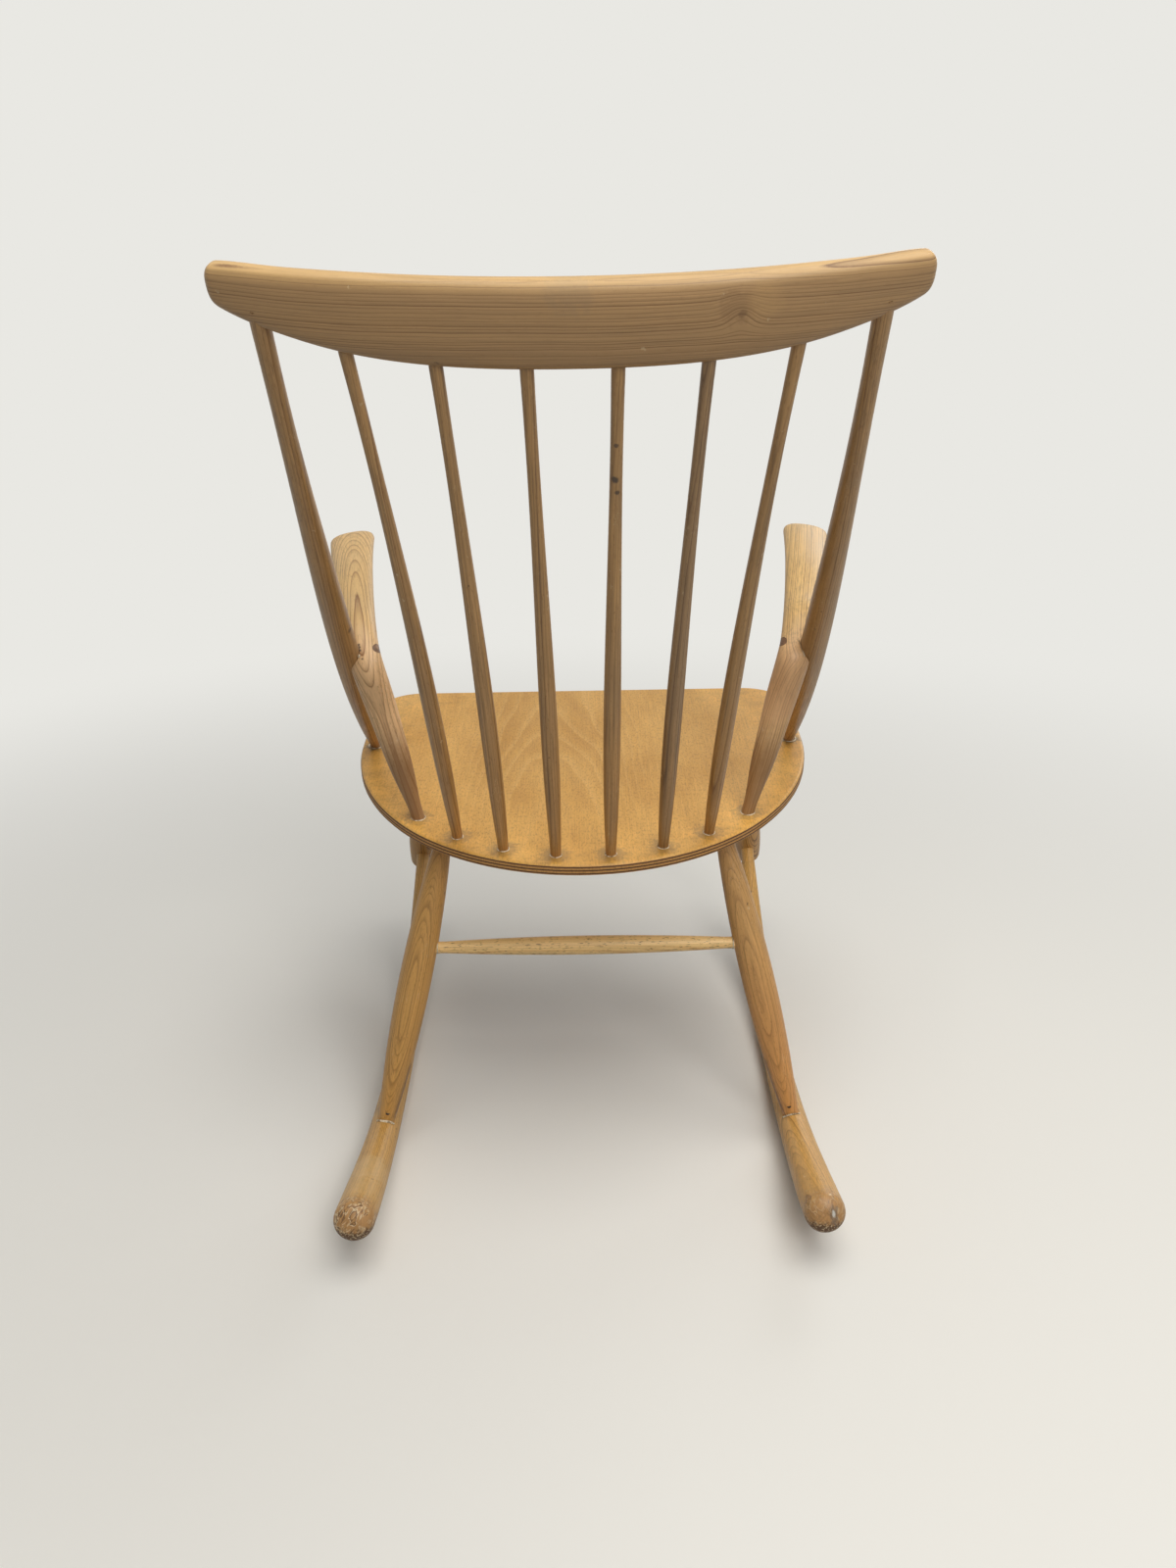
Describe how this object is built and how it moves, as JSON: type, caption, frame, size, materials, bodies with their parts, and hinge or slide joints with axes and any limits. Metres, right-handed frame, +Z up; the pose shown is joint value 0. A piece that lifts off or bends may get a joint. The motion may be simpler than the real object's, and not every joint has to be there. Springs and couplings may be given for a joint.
{
  "type": "rocking chair",
  "caption": "Spindle-back rocking chair with a bent crest rail, ply seat, carved open arms, turned legs and club-ended runners.",
  "frame": {"origin": "middle of the chair's box on the floor", "axes": "+X to the sitter's left, +Y to the back of the chair, +Z up"},
  "size_m": [0.5898, 0.817, 0.936],
  "materials": {
    "seat_ply": "clear satin lacquer over a rotary-cut face veneer",
    "crest_wood": "worn clear lacquer",
    "spindle_wood": "worn clear lacquer",
    "post_wood": "worn clear lacquer",
    "arm_wood": "worn clear lacquer",
    "leg_wood": "worn clear lacquer",
    "runner_wood": "worn clear lacquer, scuffed ends",
    "peg_wood": "end grain",
    "bearer_wood": "plain planed wood",
    "screw_steel": "dull steel",
    "nail_steel": "dull steel"
  },
  "bodies": {
    "root": {"arm_pegs": "peg_wood", "bearer_screws": "screw_steel", "crest_rail": "crest_wood", "foot_nails": "nail_steel", "front_bearer": "bearer_wood", "left_arm": "arm_wood", "left_front_leg": "leg_wood", "left_post": "post_wood", "left_rear_leg": "leg_wood", "left_runner": "runner_wood", "rear_bearer": "bearer_wood", "rear_stretcher": "leg_wood", "right_arm": "arm_wood", "right_front_leg": "leg_wood", "right_post": "post_wood", "right_rear_leg": "leg_wood", "right_runner": "runner_wood", "seat": "seat_ply", "spindle_1": "spindle_wood", "spindle_2": "spindle_wood", "spindle_3": "spindle_wood", "spindle_4": "spindle_wood", "spindle_5": "spindle_wood", "spindle_6": "spindle_wood"}
  },
  "joints": []
}
